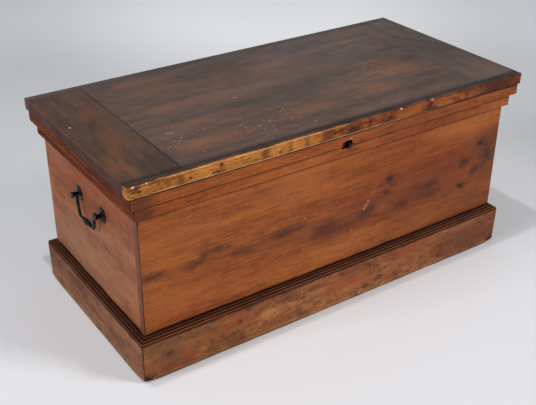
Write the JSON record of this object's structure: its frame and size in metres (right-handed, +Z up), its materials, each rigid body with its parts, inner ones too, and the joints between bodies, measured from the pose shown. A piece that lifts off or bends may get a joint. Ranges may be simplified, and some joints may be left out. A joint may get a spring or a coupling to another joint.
{
  "type": "antique blanket chest",
  "caption": "Stained pine blanket chest with a hinged lid, stepped mouldings under it, a reeded plinth, a link lock behind a squared keyhole, and iron bail handles on the ends.",
  "frame": {"origin": "on the floor, under the middle of the chest", "axes": "+X along the chest to its right end, -Y to the front where the keyhole is, +Z up"},
  "size_m": [1.1, 0.533, 0.495],
  "materials": {
    "pine_lid": "dark dulled stain, worn in specks along the grain",
    "pine_lid_edge": "stain worn to yellow pine on the front edge",
    "pine_moulding": "reddish brown stain, arrises rubbed pale",
    "pine_front": "orange brown stain with smoky bands, satin wax",
    "pine_end": "dull pinkish brown stain, satin wax",
    "pine_plinth": "brown stain, scuffed yellowish along the bottom",
    "pine_bare": "unstained sawn pine",
    "handle_iron": "old black iron, rubbed",
    "lock_iron": "dull aged iron"
  },
  "bodies": {
    "chest": {"back_board": "pine_front", "bottom_bearer_back": "pine_bare", "bottom_bearer_front": "pine_bare", "bottom_bearer_left": "pine_bare", "bottom_bearer_right": "pine_bare", "bottom_plank_1": "pine_bare", "bottom_plank_2": "pine_bare", "bottom_plank_3": "pine_bare", "bottom_plank_4": "pine_bare", "bottom_plank_5": "pine_bare", "front_board": "pine_front", "handle_nuts": "handle_iron", "hinge_box_screws": "lock_iron", "left_end_board": "pine_end", "left_front_post": "handle_iron", "left_front_rose": "handle_iron", "left_hinge_box_leaf": "lock_iron", "left_hinge_pin": "lock_iron", "left_rear_post": "handle_iron", "left_rear_rose": "handle_iron", "lock_case": "lock_iron", "lock_screws": "lock_iron", "lock_selvedge": "lock_iron", "lower_moulding_back": "pine_moulding", "lower_moulding_front": "pine_moulding", "lower_moulding_left": "pine_moulding", "lower_moulding_right": "pine_moulding", "plinth_back": "pine_plinth", "plinth_front": "pine_plinth", "plinth_left": "pine_plinth", "plinth_moulding_back": "pine_plinth", "plinth_moulding_front": "pine_plinth", "plinth_moulding_left": "pine_plinth", "plinth_moulding_right": "pine_plinth", "plinth_right": "pine_plinth", "right_end_board": "pine_end", "right_front_post": "handle_iron", "right_front_rose": "handle_iron", "right_hinge_box_leaf": "lock_iron", "right_hinge_pin": "lock_iron", "right_rear_post": "handle_iron", "right_rear_rose": "handle_iron", "upper_moulding_back": "pine_moulding", "upper_moulding_front": "pine_moulding", "upper_moulding_left": "pine_moulding", "upper_moulding_right": "pine_moulding"},
    "lid": {"hinge_lid_screws": "lock_iron", "left_hinge_lid_leaf": "lock_iron", "lid_back_strip": "pine_lid_edge", "lid_end_left": "pine_lid", "lid_end_right": "pine_lid", "lid_front_strip": "pine_lid_edge", "lid_panel_back": "pine_lid", "lid_panel_front": "pine_lid", "link_plate_screws": "lock_iron", "lock_link_plate": "lock_iron", "right_hinge_lid_leaf": "lock_iron"},
    "left_bail": {"left_bail": "handle_iron"},
    "right_bail": {"right_bail": "handle_iron"},
    "lock_bolt": {"lock_bolt": "lock_iron"}
  },
  "joints": [
    {"name": "lid_hinge", "type": "hinge", "parent": "chest", "child": "lid", "pos_m": [0, 0.2621, 0.4678], "axis": [-1, 0, 0], "range_deg": [0, 96]},
    {"name": "left_bail_swing", "type": "hinge", "parent": "chest", "child": "left_bail", "pos_m": [-0.5355, -0.008, 0.332], "axis": [0, 1, 0], "range_deg": [-8, 188]},
    {"name": "right_bail_swing", "type": "hinge", "parent": "chest", "child": "right_bail", "pos_m": [0.5355, -0.008, 0.332], "axis": [0, -1, 0], "range_deg": [-8, 188]},
    {"name": "lock_bolt_throw", "type": "slide", "parent": "chest", "child": "lock_bolt", "axis": [1, 0, 0], "range_m": [0, 0.009]}
  ]
}
